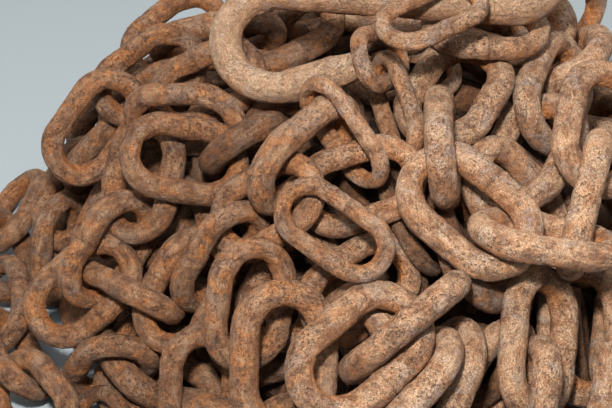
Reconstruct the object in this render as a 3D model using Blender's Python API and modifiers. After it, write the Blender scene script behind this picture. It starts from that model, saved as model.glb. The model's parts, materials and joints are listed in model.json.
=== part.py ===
"""A heap of rusty iron chain, resting on a level floor: loose links, a hook, runs of links that rust has
joined, and a plain core in place of the links that nobody sees. Metres, +Z up, the origin under the middle."""

import math

import bmesh
import bpy
import numpy as np
from mathutils import Matrix

# Links: bar diameter, outer length and outer width of each chain size
HEAVY_BAR = 0.0125
HEAVY_LENGTH = 0.067
HEAVY_WIDTH = 0.0445
MEDIUM_BAR = 0.0105
MEDIUM_LENGTH = 0.058
MEDIUM_WIDTH = 0.0385
LIGHT_BAR = 0.0078
LIGHT_LENGTH = 0.055
LIGHT_WIDTH = 0.030

# Hook: bar, bend and eye on their middle lines, and the straight stretches between
HOOK_BAR = 0.0145
HOOK_BEND_RADIUS = 0.0230
HOOK_ARM = 0.033
HOOK_ARM_RISE = math.radians(24)
HOOK_SHANK = 0.100
HOOK_EYE_RADIUS = 0.017
HOOK_EYE_TURN = math.radians(285)
HOOK_TIP_TAPER = 0.82

# Heap: the outer mound that the links fill, how deep they lie round the core at its foot and on its top,
# the gap between pieces, and the lumps of rust that join the links of a run
MOUND_RADIUS = 0.175
MOUND_HEIGHT = 0.148
DEPTH_AT_FOOT = 0.053
DEPTH_ON_TOP = 0.052
CORE_RADIUS = MOUND_RADIUS - DEPTH_AT_FOOT
CORE_HEIGHT = MOUND_HEIGHT - DEPTH_ON_TOP
CLEARANCE = 0.0003
RUST_BRIDGE = 0.0038

# Where the heap is seen from: the visible links are placed as they look from there
VIEW_ELEVATION = math.radians(40)
VIEW_DISTANCE = 0.84
VIEW_CENTRE = np.array((-0.032, 0.0193, 0.023))

# How finely the bars are made
CROWN_STEPS = 4
LOOSE_SIDES = 8
RUN_SIDES = 6
HOOK_STEP = math.radians(24)
CORE_SIDES = 48
CORE_RINGS = 12
WELD = 0.00001

# How the links settle
SETTLE_STEPS = 320
LOOSE_STEPS = 50
QUIET_STEPS = 200
PARTING_STEPS = 80
OUTER_FREEDOM = 10.0
SPEED = 1.0
MOMENTUM = 0.85
PAIR_STEPS = 10
PAIR_REACH = 0.005
PULL = 0.0001
LAST_PULL = 0.2
HOMING = 0.04
SIDEWAYS_EASE = 0.3
GYRATION = 0.020
SETTLE_GAP = 0.00006
SEAT_ROUNDS = 2
SEAT_STEPS = 40
SEAT_REACH = 0.03
SEATED = 0.00003
TINY = 1e-12

# The step along a route, the least slope toward the view that turns are worked out with, and a millimetre
ROUTE_STEP = 0.02
LEAST_FACING = 0.45
MM = 0.001

# Loose links as seen: size, across and up in mm from the view centre, depth of the middle below the
# mound in mm, then turn, lean and roll in degrees. Roll 0 lies flat on the mound and 90 stands on edge.
LOOSE_LINKS = {
    "link_tall_right": ("heavy", 114, 57, 14, 84, 0, 30),
    "link_end_on": ("heavy", 134, 77, 34, -51, 62, 0),
    "link_slant_right": ("heavy", 116, 22, 14, 58, 0, -35),
    "link_cross_right": ("heavy", 93, 3, 24, -36, 0, 5),
    "link_big_oval": ("heavy", 76, 53, 18, 50, 0, 8),
    "link_edge_middle": ("heavy", 65, 25, 20, 66, 0, 84),
    "link_open_middle": ("heavy", 68, -11, 12, -28, 0, 0),
    "link_long_right": ("heavy", 119, -27, 14, -4, 0, -22),
    "link_post_right": ("heavy", 136, 4, 22, 88, 0, 75),
    "link_top_right": ("heavy", 146, 46, 18, 82, 0, 30),
    "link_slant_front": ("heavy", 63, -56, 20, 32, 0, 85),
    "link_round_front": ("heavy", 106, -69, 18, 35, 0, 25),
    "link_post_front": ("heavy", 116, -90, 22, 88, 0, 75),
    "link_corner_front": ("heavy", 146, -85, 16, 80, 0, 40),
    "link_wedge_front": ("heavy", 131, -58, 32, -73, 0, 60),
    "link_arch_middle": ("medium", 32, 8, 18, 10, 0, 5),
    "link_bowl_middle": ("medium", 25, -37, 20, 33, 0, 20),
    "link_thin_middle": ("light", 14, -12, 10, -35, 0, 5),
    "link_thin_top": ("light", 43, 68, 12, 35, 0, 10),
    "link_thin_under": ("light", 50, 69, 28, 8, 0, 10),
    "link_thin_slant": ("light", 25, 42, 22, -58, 0, 80),
    "link_thin_drop": ("light", 44, 43, 22, -70, 0, 60),
    "link_block_middle": ("heavy", 3, 25, 24, 62, 0, 65),
    "link_top_flat": ("medium", 88, 86, 4, -8, 0, 10),
    "link_top_edge": ("medium", 131, 96, 18, 6, 0, 80),
    "link_top_back": ("light", 62, 92, -16, 22, 0, 0),
    "link_edge_left": ("medium", -35, -30, 20, 58, 0, 60),
    "link_ring_left": ("medium", -27, -4, 16, 18, 0, 10),
    "link_low_left": ("medium", -101, -77, 14, 15, 0, 40),
    "link_ring_low": ("medium", -8, -42, 28, 60, 0, 20),
    "link_tall_left": ("medium", -22, -48, 20, 84, 0, 40),
    "link_tall_low": ("heavy", -9, -77, 16, 87, 0, 15),
    "link_bent_low": ("heavy", 28, -83, 14, 55, 0, -8),
    "link_block_low": ("heavy", 37, -78, 34, -60, 0, 65),
    "link_slant_low": ("heavy", 48, -86, 22, 60, 0, 85),
    "link_post_low": ("heavy", 65, -92, 24, 96, 0, 80),
    "link_dark_low": ("heavy", 79, -84, 34, 78, 0, 40),
    "link_ring_far": ("medium", -109, -46, 12, 25, 0, 0),
    "link_edge_far": ("medium", -103, -19, 16, 52, 0, 70),
    "link_flat_left": ("medium", -57, 17, 14, -5, 0, 5),
    "link_bar_left": ("medium", -62, 43, 20, 6, 0, 75),
    "link_ring_upper": ("medium", -52, 56, 22, 20, 0, 10),
    "link_bar_upper": ("medium", -77, 59, 18, 25, 0, 80),
    "link_round_upper": ("medium", -59, 87, 16, 35, 0, 60),
    "link_slope_left": ("medium", -98, 40, 20, 50, 0, 80),
    "link_slope_low": ("medium", -85, 14, 18, 64, 0, 30),
    "link_arch_low": ("medium", -55, -87, 16, 78, 0, 10),
    "link_crown_left": ("medium", -84, -48, 18, -30, 0, 60),
    "link_lump_left": ("medium", -55, -43, 20, 60, 0, 20),
}

# Loose links that hang in one another: each is named with the end that does, -1 or 1 along its turn
HELD_TOGETHER = (
    ("link_big_oval", -1, "link_edge_middle", 1),
    ("link_edge_middle", -1, "link_open_middle", -1),
    ("link_open_middle", 1, "link_long_right", -1),
    ("link_post_right", 1, "link_top_right", -1),
    ("link_tall_right", 1, "link_end_on", 1),
    ("link_tall_right", -1, "link_slant_right", 1),
    ("link_round_front", -1, "link_post_front", 1),
    ("link_bent_low", 1, "link_slant_front", -1),
    ("link_ring_left", -1, "link_edge_left", 1),
    ("link_ring_far", 1, "link_edge_far", -1),
)

# Runs of rusted links round the rest of the heap: size, mm from link to link, depth in mm, and the route as
# degrees round from +X and degrees up the mound. They lie rolled over, each link to the other side.
RUN_ROLL = 45
RUNS = {
    "run_right_foot": ("heavy", 45, 20, ((-28, 12), (25, 10), (78, 12))),
    "run_back_foot": ("heavy", 43, 20, ((88, 12), (135, 10), (182, 12))),
    "run_front_foot": ("heavy", 46, 20, ((-166, 12), (-115, 12), (-62, 12))),
    "run_right_climb": ("heavy", 38, 20, ((-40, 10), (-26, 28), (-12, 44))),
    "run_right_side": ("heavy", 42, 20, ((-8, 24), (14, 44), (34, 25), (54, 45), (74, 26))),
    "run_back_side": ("heavy", 42, 20, ((86, 26), (106, 45), (126, 25), (144, 44), (158, 27))),
    "run_back_upper": ("heavy", 40, 20, ((34, 60), (70, 72), (95, 56), (125, 70), (152, 56))),
    "run_left_foot": ("medium", 38, -18, ((164, 5), (224, 5))),
    "run_left_rim": ("medium", 33, 14, ((190, 6), (187, 18), (177, 36), (173, 56))),
}

# Hook as seen: middle of its bend across and up in mm, depth of its middle plane, turn, lean and roll
HOOK_SPOT = (-14, 81, 2, 4, -12, 23)

# Colours and finish: base colour, roughness, metallic
FINISHES = {
    "heavy": ((0.34, 0.20, 0.13, 1), 0.9, 0.1),
    "medium": ((0.38, 0.22, 0.13, 1), 0.9, 0.1),
    "light": ((0.36, 0.21, 0.12, 1), 0.9, 0.1),
    "run": ((0.31, 0.18, 0.12, 1), 0.9, 0.1),
    "hook": ((0.42, 0.28, 0.20, 1), 0.85, 0.1),
    "core": ((0.10, 0.06, 0.045, 1), 0.95, 0.0),
}

SIZES = {
    "heavy": (HEAVY_BAR, HEAVY_LENGTH, HEAVY_WIDTH),
    "medium": (MEDIUM_BAR, MEDIUM_LENGTH, MEDIUM_WIDTH),
    "light": (LIGHT_BAR, LIGHT_LENGTH, LIGHT_WIDTH),
}

RIGHT = np.array((1.0, 0.0, 0.0))
UP = np.array((0.0, math.sin(VIEW_ELEVATION), math.cos(VIEW_ELEVATION)))
TOWARD = np.array((0.0, -math.cos(VIEW_ELEVATION), math.sin(VIEW_ELEVATION)))
EYE = VIEW_CENTRE + VIEW_DISTANCE * TOWARD


def unit(vectors):
    return vectors / np.maximum(np.linalg.norm(vectors, axis=-1, keepdims=True), TINY)


def link_path(size):
    """The middle line of a link's bar, closed: two half-round crowns with straight sides between them."""
    bar, length, width = SIZES[size]
    radius = (width - bar) / 2
    centre = (length - bar) / 2 - radius
    points = []
    for end in (1, -1):
        for step in range(CROWN_STEPS + 1):
            angle = math.pi * (step / CROWN_STEPS - 0.5)
            along = end * (centre + radius * math.cos(angle))
            points.append((along, end * radius * math.sin(angle), 0.0))
    return np.array(points)


def mound_normal(point):
    return unit(point / np.array((MOUND_RADIUS, MOUND_RADIUS, MOUND_HEIGHT)) ** 2)


def seen_on_mound(across, up):
    """Where the sight line through a spot of the view plane first meets the mound."""
    spot = VIEW_CENTRE + MM * (across * RIGHT + up * UP)
    axes = np.array((MOUND_RADIUS, MOUND_RADIUS, MOUND_HEIGHT))
    start, way = EYE / axes, (spot - EYE) / axes
    middle = -(start @ way) / (way @ way)
    closest = start + middle * way
    inside = max(1 - closest @ closest, 0.0)
    return (start + (middle - math.sqrt(inside / (way @ way))) * way) * axes


def frame_on(normal, along, lean, roll):
    """Axes of a link (along, across, through) that lies on a surface, leant out of it and rolled over."""
    along = unit(along - (along @ normal) * normal)
    lean, roll = math.radians(lean), math.radians(roll)
    up = normal * math.cos(lean) - along * math.sin(lean)
    along = along * math.cos(lean) + normal * math.sin(lean)
    across = np.cross(up, along)
    rolled = across * math.cos(roll) + up * math.sin(roll)
    return np.stack((along, rolled, np.cross(along, rolled)), axis=1)


def frame_as_seen(point, turn, lean, roll):
    """Axes of a piece on the mound whose length points, as seen, turn degrees round from the right."""
    normal = mound_normal(point)
    turn = math.radians(turn)
    flat = RIGHT * math.cos(turn) + UP * math.sin(turn)
    facing = max(normal @ TOWARD, LEAST_FACING)
    return frame_on(normal, flat - TOWARD * (flat @ normal) / facing, lean, roll)


def on_route(route, share):
    """A point of the mound on a route of stops in degrees round and up, at a share of the way."""
    place = share * (len(route) - 1)
    first = min(int(place), len(route) - 2)
    (a, b), (c, d) = route[first], route[first + 1]
    part = place - first
    turn, rise = math.radians(a + part * (c - a)), math.radians(b + part * (d - b))
    flat = MOUND_RADIUS * math.cos(rise)
    return np.array((flat * math.cos(turn), flat * math.sin(turn), MOUND_HEIGHT * math.sin(rise)))


def route_length(route):
    steps = round(1 / ROUTE_STEP)
    points = np.array([on_route(route, step / steps) for step in range(steps + 1)])
    return np.linalg.norm(points[1:] - points[:-1], axis=-1).sum()


class Links:
    """All links of the heap while they settle, one row each."""

    def __init__(self):
        self.names, self.sizes, self.centres, self.frames = [], [], [], []
        self.ways, self.eases, self.held, self.joined = [], [], [], []

    def add(self, name, size, centre, frame, way, sideways):
        """way is the direction that the link sinks in, and sideways how easily it gives across it."""
        self.names.append(name)
        self.sizes.append(size)
        self.centres.append(centre)
        self.frames.append(frame)
        self.ways.append(way)
        self.eases.append(sideways * np.eye(3) + (1 - sideways) * np.outer(way, way))
        return len(self.names) - 1

    def freeze(self):
        self.centres, self.frames = np.array(self.centres), np.array(self.frames)
        self.ways, self.eases = np.array(self.ways), np.array(self.eases)
        self.shapes = np.array([link_path(size) for size in self.sizes])
        self.bars = np.array([SIZES[size][0] / 2 for size in self.sizes])
        self.reaches = np.array([SIZES[size][1] / 2 for size in self.sizes])
        self.halves = np.array([SIZES[size][2] / 2 for size in self.sizes])
        self.sides = np.array([LOOSE_SIDES if name in LOOSE_LINKS else RUN_SIDES for name in self.names])
        self.home, self.posture = self.centres.copy(), self.frames.copy()
        self.drift, self.spin = np.zeros_like(self.centres), np.zeros_like(self.centres)

    def paths(self):
        return self.centres[:, None] + self.shapes @ self.frames.transpose(0, 2, 1)


def place_loose_links(links):
    rows = {}
    for name, (size, across, up, depth, turn, lean, roll) in LOOSE_LINKS.items():
        point = seen_on_mound(across, up)
        frame = frame_as_seen(point, turn, lean, roll)
        sight = unit(point - EYE)
        centre = point + MM * depth * sight
        rows[name] = links.add(name, size, centre, frame, sight, SIDEWAYS_EASE)
    for first, first_end, second, second_end in HELD_TOGETHER:
        links.held.append((rows[first], first_end, rows[second], second_end))


def place_runs(links):
    for name, (size, pitch, depth, route) in RUNS.items():
        count = max(round(route_length(route) / (MM * pitch)), 2)
        before = None
        for number in range(count):
            share = (number + 0.5) / count
            point = on_route(route, share)
            normal = mound_normal(point)
            along = on_route(route, share + ROUTE_STEP) - on_route(route, share - ROUTE_STEP)
            frame = frame_on(normal, along, 0, RUN_ROLL if number % 2 else -RUN_ROLL)
            centre = point - MM * depth * normal
            row = links.add(name, size, centre, frame, -normal, 1.0)
            if before is not None:
                links.held.append((before, 1, row, -1))
                links.joined.append((before, row))
            before = row


def nearest_points(p, p_end, q, q_end):
    """The nearest points of two straight stretches of bar, for whole arrays of them."""
    u, v, gap = p_end - p, q_end - q, p - q
    uu, vv, uv = (u * u).sum(-1), (v * v).sum(-1), (u * v).sum(-1)
    ug, vg = (u * gap).sum(-1), (v * gap).sum(-1)
    s = np.clip((uv * vg - vv * ug) / np.maximum(uu * vv - uv * uv, TINY), 0, 1)
    t = np.clip((uv * s + vg) / np.maximum(vv, TINY), 0, 1)
    s = np.clip((uv * t - ug) / np.maximum(uu, TINY), 0, 1)
    return p + s[..., None] * u, q + t[..., None] * v


class Moves:
    """Shifts and turns that the links ask for in one step, averaged by how much each matters."""

    def __init__(self, links):
        self.links = links
        count = len(links.names)
        self.shift, self.turn = np.zeros((count, 3)), np.zeros((count, 3))
        self.weight = np.zeros(count)
        level = np.linalg.norm(links.centres / (MOUND_RADIUS, MOUND_RADIUS, MOUND_HEIGHT), axis=-1)
        self.freedom = np.exp(OUTER_FREEDOM * (level - 1))

    def ease(self, rows, points, normals):
        """How far a unit push at a point moves the link there, and the shift and turn that it gives."""
        arm = np.cross(points - self.links.centres[rows], normals)
        shift = np.einsum("nij,nj->ni", self.links.eases[rows], normals) * self.freedom[rows, None]
        turn = arm * self.freedom[rows, None] / GYRATION**2
        return (shift * normals).sum(-1) + (turn * arm).sum(-1), shift, turn

    def add(self, rows, shift, turn, amount, weight):
        np.add.at(self.shift, rows, shift * (amount * weight)[:, None])
        np.add.at(self.turn, rows, turn * (amount * weight)[:, None])
        np.add.at(self.weight, rows, weight)

    def push_apart(self, first, first_points, second, second_points, normals, amount):
        """Pushes pairs of links apart by an amount along the normals; a negative amount draws them in."""
        ease_a, shift_a, turn_a = self.ease(first, first_points, normals)
        ease_b, shift_b, turn_b = self.ease(second, second_points, normals)
        share = amount / (ease_a + ease_b)
        weight = np.abs(amount) + CLEARANCE
        self.add(first, shift_a, turn_a, share, weight)
        self.add(second, -shift_b, -turn_b, share, weight)

    def push_off(self, rows, points, normals, amount):
        """Pushes links off something that doesn't move."""
        ease, shift, turn = self.ease(rows, points, normals)
        self.add(rows, shift, turn, amount / ease, np.abs(amount) + CLEARANCE)

    def apply(self):
        weight = np.maximum(self.weight, TINY)[:, None]
        self.links.drift = MOMENTUM * self.links.drift + SPEED * self.shift / weight
        self.links.spin = MOMENTUM * self.links.spin + SPEED * self.turn / weight
        self.links.centres += self.links.drift
        self.links.frames = turned(self.links.frames, self.links.spin)


def turned(frames, turns):
    """Frames after a small turn each, made square again."""
    along = frames[:, :, 0] + np.cross(turns, frames[:, :, 0])
    across = frames[:, :, 1] + np.cross(turns, frames[:, :, 1])
    along = unit(along)
    across = unit(across - (across * along).sum(-1, keepdims=True) * along)
    return np.stack((along, across, np.cross(along, across)), axis=2)


def near_pairs(links, skipped):
    """Pairs of links close enough to meet before the next look round."""
    reach = links.reaches[:, None] + links.reaches[None]
    apart = np.linalg.norm(links.centres[:, None] - links.centres[None], axis=-1)
    first, second = np.nonzero(np.triu(apart < reach, 1))
    keep = [(a, b) not in skipped for a, b in zip(first.tolist(), second.tolist())]
    first, second = first[keep], second[keep]
    on_a, on_b = bearings(links.paths(), first, second)
    near = np.linalg.norm(on_a - on_b, axis=-1) < links.bars[first] + links.bars[second] + PAIR_REACH
    return first[near], second[near]


def stretches_between(paths, first, second):
    """The nearest points of every stretch of the first links to every stretch of the second."""
    ends = np.roll(paths, -1, axis=1)
    return nearest_points(
        paths[first][:, :, None], ends[first][:, :, None], paths[second][:, None], ends[second][:, None]
    )


def bearings(paths, first, second):
    """Where each of the first links is nearest to its second one."""
    on_a, on_b = stretches_between(paths, first, second)
    count, stretches = len(first), paths.shape[1] ** 2
    on_a, on_b = on_a.reshape(count, stretches, 3), on_b.reshape(count, stretches, 3)
    place = ((on_a - on_b) ** 2).sum(-1).argmin(axis=1)
    rows = np.arange(count)
    return on_a[rows, place], on_b[rows, place]


def part_links(moves, paths, pairs):
    links = moves.links
    first, second = pairs
    on_a, on_b = stretches_between(paths, first, second)
    between = on_a - on_b
    apart = np.linalg.norm(between, axis=-1)
    need = (links.bars[first] + links.bars[second] + SETTLE_GAP)[:, None, None] - apart
    hit = need > 0
    pair = np.nonzero(hit)[0]
    moves.push_apart(first[pair], on_a[hit], second[pair], on_b[hit], unit(between[hit]), need[hit])


def hook_reach(links, paths, hook_path):
    """For each stretch of each link: its point nearest the hook, the way there and the free distance."""
    ends = np.roll(paths, -1, axis=1)
    on_link, on_hook = nearest_points(
        paths[:, :, None], ends[:, :, None], hook_path[:-1][None, None], hook_path[1:][None, None]
    )
    between = on_link - on_hook
    return on_link, between, np.linalg.norm(between, axis=-1) - (links.bars + HOOK_BAR / 2)[:, None, None]


def part_from_hook(moves, paths, hook_path):
    on_link, between, free = hook_reach(moves.links, paths, hook_path)
    hit = free < SETTLE_GAP
    moves.push_off(np.nonzero(hit)[0], on_link[hit], unit(between[hit]), SETTLE_GAP - free[hit])


def core_reach(links, paths):
    """For the start and middle of each stretch: the point, the way out of the core and the free distance."""
    points = np.stack((paths, (paths + np.roll(paths, -1, axis=1)) / 2), axis=2)
    axes = np.array((CORE_RADIUS, CORE_RADIUS, CORE_HEIGHT)) + links.bars[:, None, None, None]
    scaled = points / axes
    level = np.linalg.norm(scaled, axis=-1)
    normals = unit(scaled / axes)
    return points, normals, (level - 1) * (points * normals).sum(-1) / np.maximum(level, TINY)


def lift_off_core_and_floor(moves, paths):
    points, normals, free = core_reach(moves.links, paths)
    hit = free < SETTLE_GAP
    moves.push_off(np.nonzero(hit)[0], points[hit], normals[hit], SETTLE_GAP - free[hit])
    need = moves.links.bars[:, None] - paths[:, :, 2]
    hit = need > 0
    floor_normals = np.tile((0.0, 0.0, 1.0), (int(hit.sum()), 1))
    moves.push_off(np.nonzero(hit)[0], paths[hit], floor_normals, need[hit])


def flat_inset(radius, sides, through, along, normals):
    """How far a bar's flats lie inside its round: its corners are in the link's plane, and all round."""
    sideways = np.cross(through, along)
    angle = np.arctan2((normals * through).sum(-1), (normals * sideways).sum(-1))
    step = 2 * math.pi / sides
    return radius * (1 - np.cos((angle + step / 2) % step - step / 2))


def link_inset(links, paths, rows, normals, axis):
    """The inset of each stretch of the links in rows, spread over the given axis of the normals."""
    along = unit(np.roll(paths, -1, axis=1) - paths)[rows]
    shape = [len(rows), 1, 1]
    radius, sides = links.bars[rows].reshape(shape), links.sides[rows].reshape(shape)
    through = links.frames[rows][:, None, None, :, 2]
    return flat_inset(radius, sides, through, np.expand_dims(along, axis), normals)


def room_round(links, rows, hook_place):
    """The least distance that a piece, given by its rows, can still move before it meets anything."""
    paths = links.paths()
    others = np.setdiff1d(np.arange(len(links.names)), rows)
    first, second = np.repeat(rows, len(others)), np.tile(others, len(rows))
    apart = np.linalg.norm(links.centres[first] - links.centres[second], axis=-1)
    near = apart < links.reaches[first] + links.reaches[second] + SEAT_REACH
    first, second = first[near], second[near]
    on_a, on_b = stretches_between(paths, first, second)
    between = on_a - on_b
    normals = unit(between)
    gaps = np.linalg.norm(between, axis=-1) - (links.bars[first] + links.bars[second])[:, None, None]
    gaps += link_inset(links, paths, first, normals, 2) + link_inset(links, paths, second, normals, 1)
    _, normals, core = core_reach(links, paths)
    core = core[rows] + link_inset(links, paths, rows, normals[rows], 2)
    hook = hook_room(links, paths, hook_place)[0][rows]
    floor = (paths[:, :, 2] - links.bars[:, None])[rows]
    return min(min(gaps.min(initial=SEAT_REACH), core.min(), hook.min()) - CLEARANCE, floor.min())


def hook_room(links, paths, matrix):
    """How far each stretch of each link is from each stretch of the hook, and which way."""
    hook_path = placed_hook(matrix)
    _, between, free = hook_reach(links, paths, hook_path)
    normals = unit(between)
    along = unit(hook_path[1:] - hook_path[:-1])
    hook_inset = flat_inset(HOOK_BAR / 2, LOOSE_SIDES, matrix[:3, 2], along, normals)
    return free + hook_inset + link_inset(links, paths, np.arange(len(links.names)), normals, 2), normals


def seat_pieces(links, matrix):
    """Moves each piece straight into the mound, the innermost first, until it lies on what it meets."""
    owners = np.array(links.names)
    levels = np.linalg.norm(links.centres / (MOUND_RADIUS, MOUND_RADIUS, MOUND_HEIGHT), axis=-1)
    order = sorted(set(links.names), key=lambda name: (levels[owners == name].min(), name))
    for name in order:
        rows = np.nonzero(owners == name)[0]
        way = -mound_normal(links.centres[rows].mean(axis=0))
        for _ in range(SEAT_STEPS):
            room = room_round(links, rows, matrix)
            if room < SEATED:
                break
            links.centres[rows] += room * way


def seated_hook(links, matrix):
    """The hook's place once it is off the links and lowered along the sight line until it lies on them."""
    seated = matrix.copy()
    sight = unit(matrix[:3, 3] - EYE)
    for _ in range(SEAT_STEPS):
        room, normals = hook_room(links, links.paths(), seated)
        spare = room.min() - CLEARANCE
        seated[:3, 3] += spare * (sight if spare > 0 else normals[np.unravel_index(room.argmin(), room.shape)])
    return seated


def hold_together(moves, held):
    """Keeps the end of each held link inside the hole of the other, near enough to hang in it."""
    links = moves.links
    a, a_end, b, b_end = held.T
    tips = links.centres[a] + (a_end * (links.reaches[a] - links.bars[a]))[:, None] * links.frames[a][:, :, 0]
    local = np.einsum("ni,nij->nj", tips - links.centres[b], links.frames[b])
    furthest = links.reaches[b] - 2 * links.bars[b] - links.bars[a]
    room = np.maximum(links.halves[b] - 2 * links.bars[b] - links.bars[a], 0)
    wanted = np.clip(local, -room[:, None], room[:, None])
    wanted[:, 0] = b_end * np.clip(b_end * local[:, 0], furthest - 2 * links.bars[b], furthest)
    error = np.einsum("nj,nij->ni", wanted - local, links.frames[b])
    far = np.linalg.norm(error, axis=-1)
    off = far > CLEARANCE
    moves.push_apart(a[off], tips[off], b[off], tips[off], unit(error[off]), far[off])


def touch_runs(moves, paths, joined):
    """Draws the links of a run together until they bear on one another."""
    links = moves.links
    first, second = joined.T
    on_a, on_b = bearings(paths, first, second)
    between = on_a - on_b
    need = links.bars[first] + links.bars[second] + SETTLE_GAP - np.linalg.norm(between, axis=-1)
    off = need < 0
    moves.push_apart(first[off], on_a[off], second[off], on_b[off], unit(between[off]), need[off])


def settle(links, hook_path):
    """Lets the links give way to one another and sink onto the core, until none of them overlap."""
    held = np.array(links.held + [(b, b_end, a, a_end) for a, a_end, b, b_end in links.held])
    joined = np.array(links.joined)
    skipped = {(min(a, b), max(a, b)) for a, _, b, _ in links.held}
    sinking = SETTLE_STEPS - QUIET_STEPS
    for step in range(SETTLE_STEPS):
        if step % PAIR_STEPS == 0:
            pairs = near_pairs(links, skipped if step < LOOSE_STEPS else ())
        paths = links.paths()
        moves = Moves(links)
        part_links(moves, paths, pairs)
        part_from_hook(moves, paths, hook_path)
        lift_off_core_and_floor(moves, paths)
        if step < sinking:
            hold_together(moves, held)
        if LOOSE_STEPS <= step < SETTLE_STEPS - PARTING_STEPS:
            touch_runs(moves, paths, joined)
        moves.apply()
        fade = max(1 - step / sinking, 0.0)
        links.centres += PULL * (LAST_PULL + (1 - LAST_PULL) * fade) * links.ways
        if step < sinking:
            links.centres += HOMING * fade * sideways_of(links, links.home - links.centres)
            away = np.cross(links.frames, links.posture, axis=1).sum(axis=2) / 2
            links.frames = turned(links.frames, HOMING * away)


def sideways_of(links, vectors):
    along = (vectors * links.ways).sum(-1, keepdims=True) * links.ways
    return vectors - along


def hook_points():
    """The hook's middle line in its own plane: tip, arm, bend, shank and eye. The bend's middle is the origin."""
    start = 1.5 * math.pi + HOOK_ARM_RISE
    end = 0.5 * math.pi
    steps = math.ceil((start - end) / HOOK_STEP)
    points = []
    for step in range(steps + 1):
        angle = start + (end - start) * step / steps
        points.append((HOOK_BEND_RADIUS * math.cos(angle), HOOK_BEND_RADIUS * math.sin(angle)))
    first_x, first_y = points[0]
    tip = (first_x + HOOK_ARM * math.cos(HOOK_ARM_RISE), first_y + HOOK_ARM * math.sin(HOOK_ARM_RISE))
    middle = ((first_x + tip[0]) / 2, (first_y + tip[1]) / 2)
    points = [tip, middle] + points
    eye_x, eye_y = HOOK_SHANK, HOOK_BEND_RADIUS + HOOK_EYE_RADIUS
    steps = math.ceil(HOOK_EYE_TURN / HOOK_STEP)
    for step in range(steps + 1):
        angle = HOOK_EYE_TURN * step / steps - math.pi / 2
        points.append((eye_x + HOOK_EYE_RADIUS * math.cos(angle), eye_y + HOOK_EYE_RADIUS * math.sin(angle)))
    return np.array([(x, y, 0.0) for x, y in points])


def placed_hook(matrix):
    return hook_points() @ matrix[:3, :3].T + matrix[:3, 3]


def hook_matrix():
    across, up, depth, turn, lean, roll = HOOK_SPOT
    point = seen_on_mound(across, up)
    frame = frame_as_seen(point, turn, lean, roll)
    return matrix_of(point + MM * depth * unit(point - EYE), frame)


def matrix_of(centre, frame):
    rows = np.eye(4)
    rows[:3, :3], rows[:3, 3] = frame, centre
    return rows


def finish_named(name):
    colour, roughness, metallic = FINISHES[name]
    material = bpy.data.materials.new("iron_" + name)
    material.use_nodes = True
    shader = material.node_tree.nodes["Principled BSDF"]
    shader.inputs["Base Color"].default_value = colour
    shader.inputs["Roughness"].default_value = roughness
    shader.inputs["Metallic"].default_value = metallic
    return material


def bar_curve(name, points, radius, sides, closed, radii=None):
    """A bar of round section along points, as a curve: the resolution is what gives that many sides."""
    curve = bpy.data.curves.new(name, "CURVE")
    curve.dimensions = "3D"
    curve.bevel_depth = radius
    curve.bevel_resolution = (sides - 4) // 2
    curve.use_fill_caps = not closed
    spline = curve.splines.new("POLY")
    spline.points.add(len(points) - 1)
    for number, point in enumerate(points):
        spline.points[number].co = (*point, 1.0)
        spline.points[number].radius = 1.0 if radii is None else radii[number]
    spline.use_cyclic_u = closed
    return curve


def mesh_of(curve):
    """The bar of a curve as a mesh."""
    holder = bpy.data.objects.new("holder", curve)
    bpy.context.scene.collection.objects.link(holder)
    graph = bpy.context.evaluated_depsgraph_get()
    mesh = bpy.data.meshes.new_from_object(holder.evaluated_get(graph))
    bpy.data.objects.remove(holder)
    return mesh


def add_object(name, data, collection, material, matrix=None):
    thing = bpy.data.objects.new(name, data)
    collection.objects.link(thing)
    if not data.materials:
        data.materials.append(material)
    if matrix is not None:
        thing.matrix_world = Matrix(matrix.tolist())
    return thing


def make_loose_links(links, collection, finishes):
    curves = {}
    for size, (bar, _, _) in SIZES.items():
        curves[size] = bar_curve("bar_" + size, link_path(size), bar / 2, LOOSE_SIDES, True)
    for row, name in enumerate(links.names):
        if name in LOOSE_LINKS:
            size = links.sizes[row]
            matrix = matrix_of(links.centres[row], links.frames[row])
            add_object(name, curves[size], collection, finishes[size], matrix)


def make_run(name, links, link_mesh, collection, helpers, finish):
    """One run: its links side by side, joined where they bear on one another by small lumps of rust."""
    rows = [row for row, owner in enumerate(links.names) if owner == name]
    bars, lumps = bmesh.new(), bmesh.new()
    for row in rows:
        placed = link_mesh.copy()
        placed.transform(Matrix(matrix_of(links.centres[row], links.frames[row]).tolist()))
        bars.from_mesh(placed)
        bpy.data.meshes.remove(placed)
    on_a, on_b = bearings(links.paths(), np.array(rows[:-1]), np.array(rows[1:]))
    for place in (on_a + on_b) / 2:
        middle = Matrix.Translation(place.tolist())
        bmesh.ops.create_icosphere(lumps, subdivisions=1, radius=RUST_BRIDGE, matrix=middle)
    run_mesh, lump_mesh = bpy.data.meshes.new(name), bpy.data.meshes.new(name + "_lumps")
    bars.to_mesh(run_mesh)
    lumps.to_mesh(lump_mesh)
    bars.free()
    lumps.free()
    run = add_object(name, run_mesh, collection, finish)
    lump = add_object(name + "_lumps", lump_mesh, helpers, finish)
    lump.hide_render = True
    lump.display_type = "WIRE"
    joined = run.modifiers.new("rusted together", "BOOLEAN")
    joined.operation = "UNION"
    joined.solver = "EXACT"
    joined.object = lump
    run_mesh.shade_smooth()


def make_hook(matrix, collection, finish):
    points = hook_points()
    radii = [HOOK_TIP_TAPER] + [1.0] * (len(points) - 1)
    curve = bar_curve("bar_hook", points, HOOK_BAR / 2, LOOSE_SIDES, False, radii)
    add_object("hook", curve, collection, finish, matrix)


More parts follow.
